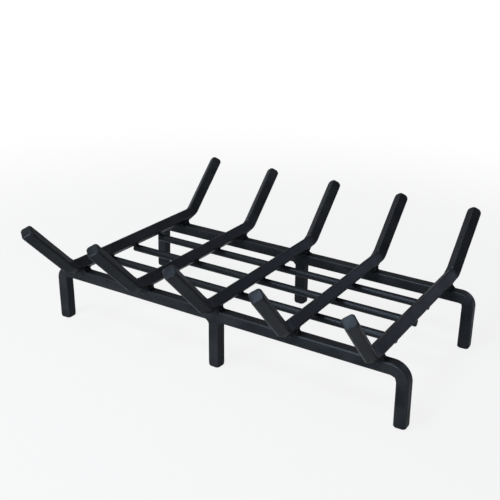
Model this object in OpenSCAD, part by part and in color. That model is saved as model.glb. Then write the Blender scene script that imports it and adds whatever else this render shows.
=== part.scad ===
// Free-standing fireplace log grate, welded from solid square bar.
// Two long rails bend down at their ends into the corner legs. Five log
// bars lie across the rails edge down, and both of their ends rise at an
// angle to hold the logs. Three round rods run under the log bars and
// hold back the embers. Nothing on the grate moves.
// X runs along the rails, Y from the front to the back and Z upward. The
// origin is on the hearth, under the middle of the grate.

/* [Square bar] */
// Side of the square bar of the rails, legs and log bars
bar_size = 18; // [15:0.5:22]
// Radius of the bar's long edges and of the edges round its cut ends
bar_edge_r = 3; // [2:0.25:4]

/* [Rails and legs] */
// Length of a rail over the outer faces of its corner legs
rail_length = 600; // [500:5:760]
// Distance between the two rails, centre to centre
rail_spacing = 265; // [220:1:340]
// Height of the rails' top faces above the hearth
rail_top = 92; // [70:1:130]
// Inside radius of the bend between a rail and its leg
leg_bend_r = 5; // [4:0.5:12]

/* [Log bars] */
// Distance from a rail's end to the middle of the outermost log bar
log_bar_inset = 50; // [42:1:80]
// How far a log bar goes on past a rail's middle, up to the corner of its bend
log_bar_overhang = 28; // [25:0.5:50]
// Length of a raised end, from the corner of its bend to its tip
arm_length = 120.5; // [80:0.5:170]
// Rise of the raised ends from the level, in degrees
arm_angle = 45; // [30:1:60]
// Inside radius of the bend at the foot of a raised end
arm_bend_r = 15; // [8:0.5:20]
// How far the bar swells all round in that bend
arm_bend_swell = 0.1; // [0.05:0.05:0.4]

/* [Ember rods] */
// Diameter of the round rods
rod_d = 12; // [8:0.5:16]
// Distance of the front and rear rods from the middle rod
rod_spacing = 64; // [45:1:80]
// How far the front and rear rods run past the middle of the end log bars
rod_overhang = 2; // [1.5:0.5:12]
// How far the middle rod runs past the middle of the end log bars
middle_rod_overhang = 5; // [1.5:0.5:12]
// Chamfer round the cut ends of the rods
rod_end_chamfer = 1; // [0.5:0.25:1.5]

/* [Welds] */
// Leg of the fillet welds that hold the log bars on the rails
log_bar_weld = 6; // [4:0.5:8]
// Leg of the fillet welds that hold the middle legs under the rails
leg_weld = 6.5; // [5:0.5:8]
// Leg of the fillet welds that hold the log bars on the rods
rod_weld = 4; // [3:0.5:5]
// Width of those welds along the log bar
rod_weld_w = 6; // [4:0.5:8]
// Radius of every weld's hollow face, as a multiple of its leg
weld_hollow = 1.25; // [1.1:0.05:3]

/* [Hidden] */
// Facets of the round surfaces
$fn = 48;
// Number of log bars across the rails
log_bar_count = 5;
// Names of the pieces
// Half of the bar's side
bar_half = bar_size / 2;
// From the middle of the bar to the middle of an edge radius
edge_centre = bar_half - bar_edge_r;
// From the middle of the bar to the crest of a rounded edge
bar_crest = edge_centre * sqrt(2) + bar_edge_r;
// Width of the flat part of each of the bar's faces
bar_flat = bar_size - 2 * bar_edge_r;
// Distance of the rails from the middle of the grate
rail_y = rail_spacing / 2;
// Half of a rail's straight part, between its bends
rail_half = rail_length / 2 - bar_size - leg_bend_r;
// Height of the rails' undersides
rail_under = rail_top - bar_size;
// Distance of the outermost log bar from the middle of the grate
log_bar_reach = rail_length / 2 - log_bar_inset;
// Distance between neighbouring log bars
log_bar_pitch = 2 * log_bar_reach / (log_bar_count - 1);
// Height of the log bars' centre lines: they rest on the rails, edge down
log_bar_z = rail_top + bar_crest;
// Distance of the bends' corners from the middle of the grate
bend_corner_y = rail_y + log_bar_overhang;
// Radius of the bend at the bar's centre line
arm_bend_mid_r = arm_bend_r + bar_crest;
// From the bend's corner to where the curve starts
bend_setback = arm_bend_mid_r * tan(arm_angle / 2);
// Height of the rods' centre lines: they touch the log bars from below
rod_z = rail_top - rod_d / 2;
// Finish of the painted steel
bar_paint = [0.17, 0.18, 0.20];
rod_paint = [0.19, 0.20, 0.22];
weld_paint = [0.15, 0.16, 0.17];

// Position of a log bar along the rails, counted from the left
function log_bar_x(index) = (index - (log_bar_count + 1) / 2) * log_bar_pitch;

// Outline of the square bar with its rounded edges, swollen all round by swell
module bar_outline(swell = 0) {
    size = bar_size + 2 * swell;
    square([size, bar_flat], center = true);
    square([bar_flat, size], center = true);
    for (sx = [-1, 1], sy = [-1, 1])
        translate([sx * edge_centre, sy * edge_centre])
            circle(r = bar_edge_r + swell);
}

// The same outline turned to stand on one edge
module edge_down_outline(swell = 0) {
    rotate(45)
        bar_outline(swell);
}

// Quarter of a disc with the radius of the bar's edges
module edge_quarter() {
    intersection() {
        circle(r = bar_edge_r);
        square(bar_edge_r);
    }
}

// Straight bar along +Z from the origin, with the edges round its far end rounded
module cut_bar(length) {
    shoulder = length - bar_edge_r;
    linear_extrude(height = shoulder)
        bar_outline();
    translate([-edge_centre, -edge_centre, shoulder])
        cube([bar_flat, bar_flat, bar_edge_r]);
    for (turn = [0 : 90 : 270])
        rotate([0, 0, turn])
            translate([edge_centre, edge_centre, shoulder]) {
                rotate_extrude(angle = 90)
                    edge_quarter();
                rotate([90, 0, 0])
                    linear_extrude(height = bar_flat)
                        edge_quarter();
            }
}

// Rail with its two corner legs, bent from one bar
module rail(y) {
    bend_z = rail_under - leg_bend_r;
    translate([0, y, 0]) {
        translate([-rail_half, 0, rail_top - bar_half])
            rotate([0, 90, 0])
                linear_extrude(height = 2 * rail_half)
                    bar_outline();
        for (side = [0, 1])
            mirror([side, 0, 0])
                translate([rail_half, 0, bend_z]) {
                    rotate([90, 0, 0])
                        rotate_extrude(angle = 90)
                            translate([leg_bend_r + bar_half, 0])
                                bar_outline();
                    translate([leg_bend_r + bar_half, 0, 0])
                        rotate([180, 0, 0])
                            cut_bar(bend_z);
                }
    }
}

// Straight leg under the middle of a rail
module middle_leg(y) {
    translate([0, y, rail_under])
        rotate([180, 0, 0])
            cut_bar(rail_under);
}

// Log bar with both of its ends bent up
module log_bar(index) {
    flat_half = bend_corner_y - bend_setback;
    translate([log_bar_x(index), 0, log_bar_z]) {
        translate([0, flat_half, 0])
            rotate([90, 0, 0])
                linear_extrude(height = 2 * flat_half)
                    edge_down_outline();
        for (side = [0, 1])
            mirror([0, side, 0])
                translate([0, flat_half, arm_bend_mid_r])
                    rotate([0, 90, 0]) {
                        rotate_extrude(angle = arm_angle)
                            translate([arm_bend_mid_r, 0])
                                edge_down_outline(arm_bend_swell);
                        rotate([0, 0, arm_angle])
                            translate([arm_bend_mid_r, 0, 0])
                                rotate([-90, 0, 0])
                                    rotate([0, 0, 45])
                                        cut_bar(arm_length - bend_setback);
                    }
    }
}

// Round rod under the log bars, with chamfered ends
module ember_rod(y, overhang) {
    half = log_bar_reach + overhang;
    r = rod_d / 2;
    translate([0, y, rod_z])
        rotate([0, 90, 0])
            rotate_extrude()
                polygon([
                    [0, -half],
                    [r - rod_end_chamfer, -half],
                    [r, rod_end_chamfer - half],
                    [r, half - rod_end_chamfer],
                    [r - rod_end_chamfer, half],
                    [0, half]
                ]);
}

// Disc that hollows the face of a weld of that leg. The face runs from one
// point of the weld's outline to another.
module face_hollow(leg, from, to) {
    r = weld_hollow * leg;
    half_face = norm(to - from) / 2;
    across = [to[1] - from[1], from[0] - to[0]] / (2 * half_face);
    translate((from + to) / 2 + sqrt(r * r - half_face * half_face) * across)
        circle(r = r);
}

// Outline of the weld beside a log bar's lower edge, at the right-hand side.
// It fills the corner between the bar's flank and a surface at height 0,
// and goes down by depth where that surface falls away.
module flank_weld_outline(leg, depth) {
    start = bar_edge_r / 2;
    flank_foot = bar_size / sqrt(2) - bar_crest;
    toe = [flank_foot + leg, 0];
    top = [flank_foot + leg / sqrt(2), leg / sqrt(2)];
    difference() {
        polygon([[start, -depth], [toe[0], -depth], toe, top, [start, top[1]]]);
        translate([0, bar_crest])
            edge_down_outline();
        face_hollow(leg, toe, top);
    }
}

// Weld beside a log bar's lower edge, on its right-hand side or, if side is -1, on its left
module flank_weld(leg, width, depth, side) {
    mirror([side < 0 ? 1 : 0, 0, 0])
        rotate([90, 0, 0])
            linear_extrude(height = width, center = true)
                flank_weld_outline(leg, depth);
}

// Welds of one log bar on both rails, on both of its sides
module log_bar_welds(index) {
    for (y = [-rail_y, rail_y], side = [-1, 1])
        translate([log_bar_x(index), y, rail_top])
            flank_weld(log_bar_weld, bar_flat, 0, side);
}

// Welds of all the log bars on one ember rod. The rod stops just past the
// middle of the end log bars, so those are welded on their inner side only.
module rod_welds(y) {
    r = rod_d / 2;
    depth = r - sqrt(r * r - rod_weld_w * rod_weld_w / 4);
    difference() {
        for (index = [1 : log_bar_count - 1])
            for (end = [0, 1])
                translate([log_bar_x(index + end), y, rail_top])
                    flank_weld(rod_weld, rod_weld_w, depth, 1 - 2 * end);
        translate([-rail_half, y, rod_z])
            rotate([0, 90, 0])
                cylinder(r = r, h = 2 * rail_half);
    }
}

// Fillets on both sides of a middle leg, under its rail
module leg_welds(y) {
    for (side = [0, 1])
        mirror([side, 0, 0])
            translate([bar_half, y, rail_under])
                rotate([90, 0, 0])
                    linear_extrude(height = bar_flat, center = true)
                        difference() {
                            polygon([[0, 0], [leg_weld, 0], [0, -leg_weld]]);
                            face_hollow(leg_weld, [0, -leg_weld], [leg_weld, 0]);
                        }
}

color(bar_paint) rail(-rail_y);  // front_rail
color(bar_paint) rail(rail_y);  // rear_rail
color(bar_paint) middle_leg(-rail_y);  // front_middle_leg
color(bar_paint) middle_leg(rail_y);  // rear_middle_leg
color(bar_paint) log_bar(1);  // log_bar_1
color(bar_paint) log_bar(2);  // log_bar_2
color(bar_paint) log_bar(3);  // log_bar_3
color(bar_paint) log_bar(4);  // log_bar_4
color(bar_paint) log_bar(5);  // log_bar_5
color(rod_paint) ember_rod(-rod_spacing, rod_overhang);  // front_ember_rod
color(rod_paint) ember_rod(0, middle_rod_overhang);  // middle_ember_rod
color(rod_paint) ember_rod(rod_spacing, rod_overhang);  // rear_ember_rod
color(weld_paint) log_bar_welds(1);  // log_bar_1_welds
color(weld_paint) log_bar_welds(2);  // log_bar_2_welds
color(weld_paint) log_bar_welds(3);  // log_bar_3_welds
color(weld_paint) log_bar_welds(4);  // log_bar_4_welds
color(weld_paint) log_bar_welds(5);  // log_bar_5_welds
color(weld_paint) rod_welds(-rod_spacing);  // front_rod_welds
color(weld_paint) rod_welds(0);  // middle_rod_welds
color(weld_paint) rod_welds(rod_spacing);  // rear_rod_welds
color(weld_paint) leg_welds(-rail_y);  // front_leg_welds
color(weld_paint) leg_welds(rail_y);  // rear_leg_welds
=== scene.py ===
"""Looks of a free-standing log grate welded from solid square bar.

Every bar is swept along its bent centre line with rounded edges, dressed ends
and worked bends, every joint is filled with rippled weld metal, and the whole
grate wears a matt black coating. Lengths are in metres, X runs along the
rails, Y from the front to the back and Z upward from the hearth. The main
sizes are read from the CAD's frame.
"""

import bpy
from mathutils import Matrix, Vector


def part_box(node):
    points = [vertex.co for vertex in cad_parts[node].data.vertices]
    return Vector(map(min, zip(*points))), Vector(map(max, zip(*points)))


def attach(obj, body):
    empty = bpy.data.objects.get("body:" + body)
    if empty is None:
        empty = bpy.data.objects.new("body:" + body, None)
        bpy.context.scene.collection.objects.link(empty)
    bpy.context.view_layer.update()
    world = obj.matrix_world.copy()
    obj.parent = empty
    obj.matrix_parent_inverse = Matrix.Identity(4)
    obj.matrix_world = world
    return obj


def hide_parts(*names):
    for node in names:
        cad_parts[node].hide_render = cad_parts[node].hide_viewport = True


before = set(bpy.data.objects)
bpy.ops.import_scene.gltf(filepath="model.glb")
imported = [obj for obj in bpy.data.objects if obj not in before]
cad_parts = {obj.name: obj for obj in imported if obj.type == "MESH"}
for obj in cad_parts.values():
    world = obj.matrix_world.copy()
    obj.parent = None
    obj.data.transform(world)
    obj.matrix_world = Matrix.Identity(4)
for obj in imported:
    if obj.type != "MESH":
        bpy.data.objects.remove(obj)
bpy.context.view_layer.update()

import logging
import math
from dataclasses import dataclass
from enum import Enum
from functools import cache
from typing import ClassVar, Sequence

import bmesh
import bpy
import numpy as np
from mathutils import Matrix, Vector, noise

LOG = logging.getLogger("log_grate")
ROOT = "root"
TINY = 1e-9
X, Y, Z = range(3)
CAD_DIGITS = 5

Points = np.ndarray
Triple = tuple[float, float, float]


# --------------------------------------------------------------------------
# Sizes from the frame
# --------------------------------------------------------------------------


def cad_size(node: str, axis: int) -> float:
    """Size of a CAD node along an axis, to a hundredth of a millimetre."""
    low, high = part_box(node)
    return round(high[axis] - low[axis], CAD_DIGITS)


def cad_middle(node: str, axis: int) -> float:
    """The middle of a CAD node along an axis, to a hundredth of a millimetre."""
    low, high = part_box(node)
    return round((low[axis] + high[axis]) / 2, CAD_DIGITS)


BAR_SIZE = cad_size("front_rail", Y)
BAR_EDGE = 0.003


# --------------------------------------------------------------------------
# Named choices
# --------------------------------------------------------------------------


class Stance(Enum):
    """How a bar's square section stands: turn about its own length, in degrees."""

    FLAT = 0.0
    EDGE_DOWN = 45.0


class Slot(Enum):
    """The material slots."""

    BAR = "bar_coat"
    ROD = "rod_coat"
    WELD = "weld_coat"


class Joint(Enum):
    """The kinds of welded joint."""

    BAR_ON_RAIL = "bar_on_rail"
    BAR_ON_ROD = "bar_on_rod"
    LEG_UNDER_RAIL = "leg_under_rail"


class Kind(Enum):
    """The kinds of socket that a node group has."""

    GEOMETRY = "NodeSocketGeometry"
    VECTOR = "NodeSocketVector"
    MATERIAL = "NodeSocketMaterial"
    INT = "NodeSocketInt"
    FLOAT = "NodeSocketFloat"
    COLOR = "NodeSocketColor"


class Sort(Enum):
    """The kinds of named attribute."""

    NUMBER = "FLOAT"
    TRIPLE = "FLOAT_VECTOR"


# --------------------------------------------------------------------------
# Node trees
# --------------------------------------------------------------------------


@dataclass(frozen=True)
class Field:
    """A value in a node tree. Arithmetic on it adds Math nodes.

    Attributes:
        maker: what adds nodes to its tree.
        socket: the output that it comes from.
    """

    maker: "TreeMaker"
    socket: bpy.types.NodeSocket

    def __add__(self, other: "Term") -> "Field":
        """Their sum."""
        return self.maker.math("ADD", self, other)

    def __sub__(self, other: "Term") -> "Field":
        """This less the other."""
        return self.maker.math("SUBTRACT", self, other)

    def __rsub__(self, other: float) -> "Field":
        """The number less this."""
        return self.maker.math("SUBTRACT", other, self)

    def __mul__(self, other: "Term") -> "Field":
        """Their product."""
        return self.maker.math("MULTIPLY", self, other)

    def __truediv__(self, other: "Term") -> "Field":
        """This over the other."""
        return self.maker.math("DIVIDE", self, other)

    def __abs__(self) -> "Field":
        """This without its sign."""
        return self.maker.math("ABSOLUTE", self)

    def least(self, other: "Term") -> "Field":
        """The lesser of the two."""
        return self.maker.math("MINIMUM", self, other)

    def most(self, other: "Term") -> "Field":
        """The greater of the two."""
        return self.maker.math("MAXIMUM", self, other)


Term = Field | float | Sequence[float]


@dataclass
class TreeMaker:
    """Adds nodes to a node tree and joins them in one call.

    Attributes:
        tree: the geometry or shader tree that gets the nodes.
    """

    tree: bpy.types.NodeTree

    def node(
        self, kind: str, terms: dict[str | int, Term] | None = None, **props: object
    ) -> bpy.types.Node:
        """Adds one node.

        Args:
            kind: the node's type name.
            terms: input name or index to the field or constant that it takes.
            props: properties of the node itself, set first.

        Returns:
            The new node.
        """
        made = self.tree.nodes.new(kind)
        for name, value in props.items():
            setattr(made, name, value)
        for name, term in (terms or {}).items():
            if isinstance(term, Field):
                self.tree.links.new(term.socket, made.inputs[name])
            else:
                made.inputs[name].default_value = term
        return made

    def field(
        self, kind: str, terms: dict[str | int, Term] | None = None, out: str | int = 0, **props: object
    ) -> Field:
        """Adds one node, as node() does.

        Args:
            kind: the node's type name.
            terms: input name or index to the field or constant that it takes.
            out: name or index of the output to return.
            props: properties of the node itself.

        Returns:
            One of its outputs.
        """
        return Field(self, self.node(kind, terms, **props).outputs[out])

    def math(self, operation: str, *terms: Term) -> Field:
        """Adds a Math node and returns its result."""
        return self.field("ShaderNodeMath", dict(enumerate(terms)), operation=operation)

    def vector(self, operation: str, *terms: Term, scale: Term = 1.0) -> Field:
        """Adds a Vector Math node.

        Args:
            operation: what it does.
            terms: its vectors.
            scale: the factor, where it scales.

        Returns:
            Its result, a number for a length or a dot product.
        """
        # The node's input 3 is the factor.
        out = "Value" if operation in ("DOT_PRODUCT", "LENGTH") else "Vector"
        every = {**dict(enumerate(terms)), 3: scale}
        return self.field("ShaderNodeVectorMath", every, out, operation=operation)

    def parts(self, vector: Field) -> tuple[Field, Field, Field]:
        """Splits a vector into its three coordinates."""
        made = self.node("ShaderNodeSeparateXYZ", {0: vector})
        return tuple(Field(self, socket) for socket in made.outputs)

    def hypot(self, a: Field, b: Field) -> Field:
        """The root of the sum of two squares."""
        return self.math("SQRT", a * a + b * b)

    def range(
        self, value: Field, low: Term, high: Term, to_low: float = 0.0, to_high: float = 1.0
    ) -> Field:
        """Maps a value smoothly from one range to another.

        Args:
            value: the value.
            low: where its range starts.
            high: where its range ends.
            to_low: what it becomes at the start.
            to_high: what it becomes at the end.

        Returns:
            The mapped value.
        """
        terms = {"Value": value, "From Min": low, "From Max": high, "To Min": to_low, "To Max": to_high}
        return self.field("ShaderNodeMapRange", terms, interpolation_type="SMOOTHSTEP")

    def mix(self, factor: Field, a: Term, b: Term) -> Field:
        """Mixes two colours; the three numbers are the node's colour sockets."""
        return self.field("ShaderNodeMix", {0: factor, 6: a, 7: b}, 2, data_type="RGBA")

    def noise(self, place: Field, scale: Term, detail: float, roughness: float = 0.5) -> Field:
        """Smooth noise over a place."""
        terms = {"Vector": place, "Scale": scale, "Detail": detail, "Roughness": roughness}
        return self.field("ShaderNodeTexNoise", terms)


class GroupMaker(TreeMaker):
    """Makes a shader node group with named inputs and outputs."""

    TREE: ClassVar[str] = "ShaderNodeTree"

    def __init__(self, name: str, inputs: dict[str, Kind | Term], outputs: dict[str, Kind]) -> None:
        """Opens the group.

        Args:
            name: the group's name.
            inputs: each input's kind, or the value that it starts from.
            outputs: each output's kind.
        """
        super().__init__(bpy.data.node_groups.new(name, self.TREE))
        kinds = {int: Kind.INT, float: Kind.FLOAT, tuple: Kind.COLOR}
        for title, start in inputs.items():
            bare = isinstance(start, Kind)
            kind = start if bare else kinds[type(start)]
            socket = self.tree.interface.new_socket(title, in_out="INPUT", socket_type=kind.value)
            if not bare:
                socket.default_value = start
        for title, kind in outputs.items():
            self.tree.interface.new_socket(title, in_out="OUTPUT", socket_type=kind.value)
        self.group_in, self.group_out = self.node("NodeGroupInput"), self.node("NodeGroupOutput")

    def given(self, name: str) -> Field:
        """The group's input of this name."""
        return Field(self, self.group_in.outputs[name])

    def give(self, name: str, value: Field) -> None:
        """Feeds the group's output of this name."""
        self.tree.links.new(value.socket, self.group_out.inputs[name])


class ShapeMaker(GroupMaker):
    """Makes a geometry tree from a first geometry to one dressed mesh."""

    TREE: ClassVar[str] = "GeometryNodeTree"

    def __init__(self, name: str, first: str, inputs: dict[str, Kind | Term]) -> None:
        """Opens the tree.

        Args:
            name: the tree's name.
            first: name of the geometry that it starts from.
            inputs: its other inputs, as a group has them.
        """
        every = {first: Kind.GEOMETRY, **inputs, "Finish": Kind.MATERIAL}
        super().__init__(name, every, {"Geometry": Kind.GEOMETRY})

    def here(self) -> Field:
        """The place of each point."""
        return self.field("GeometryNodeInputPosition")

    def named(self, name: str, sort: Sort) -> Field:
        """Reads a named attribute."""
        kind = "GeometryNodeInputNamedAttribute"
        return self.field(kind, {"Name": name}, "Attribute", data_type=sort.value)

    def stored(self, geometry: Field, name: str, sort: Sort, value: Field) -> Field:
        """Stores a named point attribute.

        Args:
            geometry: what gets it.
            name: its name.
            sort: its kind.
            value: its value.

        Returns:
            The geometry with it.
        """
        kind = "GeometryNodeStoreNamedAttribute"
        terms = {"Geometry": geometry, "Name": name, "Value": value}
        return self.field(kind, terms, data_type=sort.value, domain="POINT")

    def dressed(self, geometry: Field) -> bpy.types.NodeTree:
        """Ends the tree in smooth faces, Realize Instances and Set Material.

        Args:
            geometry: the finished shape.

        Returns:
            The finished tree.
        """
        smooth = self.field("GeometryNodeSetShadeSmooth", {"Geometry": geometry})
        real = self.field("GeometryNodeRealizeInstances", {"Geometry": smooth})
        terms = {"Geometry": real, "Material": self.given("Finish")}
        self.give("Geometry", self.field("GeometryNodeSetMaterial", terms))
        return self.tree


def through_tree(
    name: str, seed_mesh: bpy.types.Mesh, tree: bpy.types.NodeTree, values: dict[str, object]
) -> bpy.types.Object:
    """Runs a geometry tree on a mesh and keeps the result as a plain mesh object.

    Args:
        name: the new object's name.
        seed_mesh: the mesh that the tree starts from.
        tree: the geometry tree.
        values: input name to its value.

    Returns:
        An object at the origin whose mesh is the tree's result.
    """
    seed = bpy.data.objects.new(name + "_seed", seed_mesh)
    bpy.context.scene.collection.objects.link(seed)
    modifier = seed.modifiers.new("shape", "NODES")
    modifier.node_group = tree
    for item in tree.interface.items_tree:
        if item.item_type == "SOCKET" and item.in_out == "INPUT" and item.name in values:
            modifier[item.identifier] = values[item.name]
    graph = bpy.context.evaluated_depsgraph_get()
    mesh = bpy.data.meshes.new_from_object(
        seed.evaluated_get(graph), preserve_all_data_layers=True, depsgraph=graph
    )
    seed.modifiers.remove(modifier)
    bpy.data.objects.remove(seed)
    mesh.name = name
    return placed(name, mesh)


def placed(name: str, mesh: bpy.types.Mesh) -> bpy.types.Object:
    """Puts a mesh into the scene.

    Args:
        name: the new object's name.
        mesh: its mesh.

    Returns:
        The object, at the origin.
    """
    made = bpy.data.objects.new(name, mesh)
    bpy.context.scene.collection.objects.link(made)
    return made


def spots_mesh(name: str, spots: Sequence[Sequence[float]], joined: bool = False) -> bpy.types.Mesh:
    """Makes a mesh of points without faces.

    Args:
        name: the mesh's name.
        spots: the points.
        joined: whether each is joined to the next.

    Returns:
        The mesh.
    """
    mesh = bpy.data.meshes.new(name)
    edges = [(k, k + 1) for k in range(len(spots) - 1)] if joined else []
    mesh.from_pydata([tuple(spot) for spot in spots], edges, [])
    return mesh


def set_attribute(mesh: bpy.types.Mesh, name: str, values: Points) -> None:
    """Gives a mesh a point attribute.

    Args:
        mesh: the mesh.
        name: the attribute's name.
        values: a number or a triple for each point.
    """
    sort, part = (Sort.TRIPLE, "vector") if values.ndim == 2 else (Sort.NUMBER, "value")
    layer = mesh.attributes.get(name) or mesh.attributes.new(name, sort.value, "POINT")
    layer.data.foreach_set(part, np.ascontiguousarray(values, np.float32).ravel())


def attribute_of(mesh: bpy.types.Mesh, name: str, width: int) -> Points:
    """Reads a point attribute of a mesh.

    Args:
        mesh: the mesh.
        name: the attribute's name.
        width: 3 for triples, 1 for numbers.

    Returns:
        The values, with a column for each coordinate where they are triples.
    """
    values = np.zeros(len(mesh.vertices) * width, np.float32)
    mesh.attributes[name].data.foreach_get("vector" if width == 3 else "value", values)
    return (values.reshape(-1, width) if width > 1 else values).astype(float)


# --------------------------------------------------------------------------
# Geometry trees
# --------------------------------------------------------------------------


def sweep_tree() -> bpy.types.NodeTree:
    """Geometry tree that sweeps a rounded square along a line of points.

    The line carries two attributes, side, the way one flat of an unturned bar
    faces, and girth, the section's scale. The mesh carries core, the point of
    the centre line beside it, and edge, which is 1 on the crest of a rounded edge.

    Returns:
        The tree, with inputs for the bar's size, edge radius, facets and turn.
    """
    sizes = {"Bar Size": BAR_SIZE, "Edge Radius": BAR_EDGE, "Facets": 96, "Turn": 0.0}
    maker = ShapeMaker("bar_sweep", "Line", sizes)
    line = maker.field("GeometryNodeMeshToCurve", {"Mesh": maker.given("Line")})
    side = maker.named("side", Sort.TRIPLE)
    line = maker.field("GeometryNodeSetCurveNormal", {"Curve": line, "Normal": side}, mode="FREE")
    line = maker.stored(line, "core", Sort.TRIPLE, maker.here())

    # A ring of points drawn in to a square with rounded corners: each goes to the
    # nearest point of the inner square, then out by the edge radius. The ring is a
    # third wider than the square, so that enough points go to the corners.
    spread = 1.3333
    half = maker.given("Bar Size") * 0.5
    inner = half - maker.given("Edge Radius")
    circle = {"Resolution": maker.given("Facets"), "Radius": half * spread}
    ring = maker.field("GeometryNodeCurvePrimitiveCircle", circle, mode="RADIUS")
    here = maker.here()
    high = maker.field("ShaderNodeCombineXYZ", {0: inner, 1: inner, 2: inner})
    low = maker.vector("SCALE", high, scale=-1.0)
    near = maker.vector("MAXIMUM", maker.vector("MINIMUM", here, high), low)
    out = maker.vector("NORMALIZE", maker.vector("SUBTRACT", here, near))
    place = maker.vector("ADD", near, maker.vector("SCALE", out, scale=maker.given("Edge Radius")))
    across, up, _ = maker.parts(out)
    section = maker.stored(ring, "edge", Sort.NUMBER, abs(across) * abs(up) * 2.0)
    section = maker.field("GeometryNodeSetPosition", {"Geometry": section, "Position": place})
    turn = maker.field("ShaderNodeCombineXYZ", {2: maker.given("Turn")})
    section = maker.field("GeometryNodeTransform", {"Geometry": section, "Rotation": turn})
    girth = maker.named("girth", Sort.NUMBER)
    path = {"Curve": line, "Profile Curve": section, "Scale": girth, "Fill Caps": True}
    return maker.dressed(maker.field("GeometryNodeCurveToMesh", path))


def rounded_square(
    across: Field, up: Field, half: float = BAR_SIZE / 2, edge: float = BAR_EDGE
) -> Field:
    """Distance outside a square with rounded corners that is centred on the origin.

    Args:
        across: one coordinate.
        up: the other.
        half: half of the square's side.
        edge: radius of its corners.

    Returns:
        The distance, below 0 inside.
    """
    a, b = abs(across) - (half - edge), abs(up) - (half - edge)
    return a.most(b).least(0.0) + across.maker.hypot(a.most(0.0), b.most(0.0)) - edge


@dataclass
class JointSpace:
    """Distances from the steel at a joint, as fields of a geometry tree.

    Attributes:
        maker: the tree's maker.
        x: along the rails, from the joint.
        y: from the middle of the grate, either way.
        z: height.
        rails: sizes of the rails.
        bars: sizes of the log bars.
        rods: sizes of the ember rods.
    """

    maker: TreeMaker
    x: Field
    y: Field
    z: Field
    rails: "Rails"
    bars: "LogBars"
    rods: "EmberRods"

    def log_bar(self) -> Field:
        """Distance from a log bar, which stands on its edge and bends up at its end.

        Returns:
            The distance, below 0 inside.
        """
        turn, radius = math.radians(self.bars.angle), self.bars.bend_radius
        out = self.y - (self.bars.corner - radius * math.tan(turn / 2))
        drop = self.bars.centre + radius - self.z
        angle = self.maker.math("ARCTAN2", out, drop).most(0.0).least(turn)
        reach = out * self.maker.math("SINE", angle) + drop * self.maker.math("COSINE", angle)
        inward = radius - reach
        return rounded_square((self.x + inward) * math.sqrt(0.5), (self.x - inward) * math.sqrt(0.5))

    def rail(self) -> Field:
        """Distance from a rail."""
        return rounded_square(self._across(), self.z - (self.rails.top - BAR_SIZE / 2))

    def rod(self, away: Field, along: Field, margin: float = 0.0015) -> Field:
        """Distance from an ember rod.

        Args:
            away: the way off its middle line.
            along: the way along it, from the middle of the grate.
            margin: how far short of its ends it counts as steel.

        Returns:
            The distance, below 0 inside.
        """
        radius = self.rods.diameter / 2
        beside = self.maker.hypot(away, self.z - (self.rails.top - radius)) - radius
        return beside.most(abs(along) - (self.rods.reach - margin))

    def leg(self) -> Field:
        """Distance from a middle leg, below the rail."""
        return rounded_square(self.x, self._across()).most(self.z - self.rails.under)

    def flush(self, lap: float = 0.0001) -> Field:
        """Distance outside the rail's two side faces, less a hair's lap."""
        return abs(self._across()) - (BAR_SIZE / 2 - lap)

    def _across(self) -> Field:
        """The way off the rail's middle line."""
        return self.y - self.rails.spacing / 2


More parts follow.
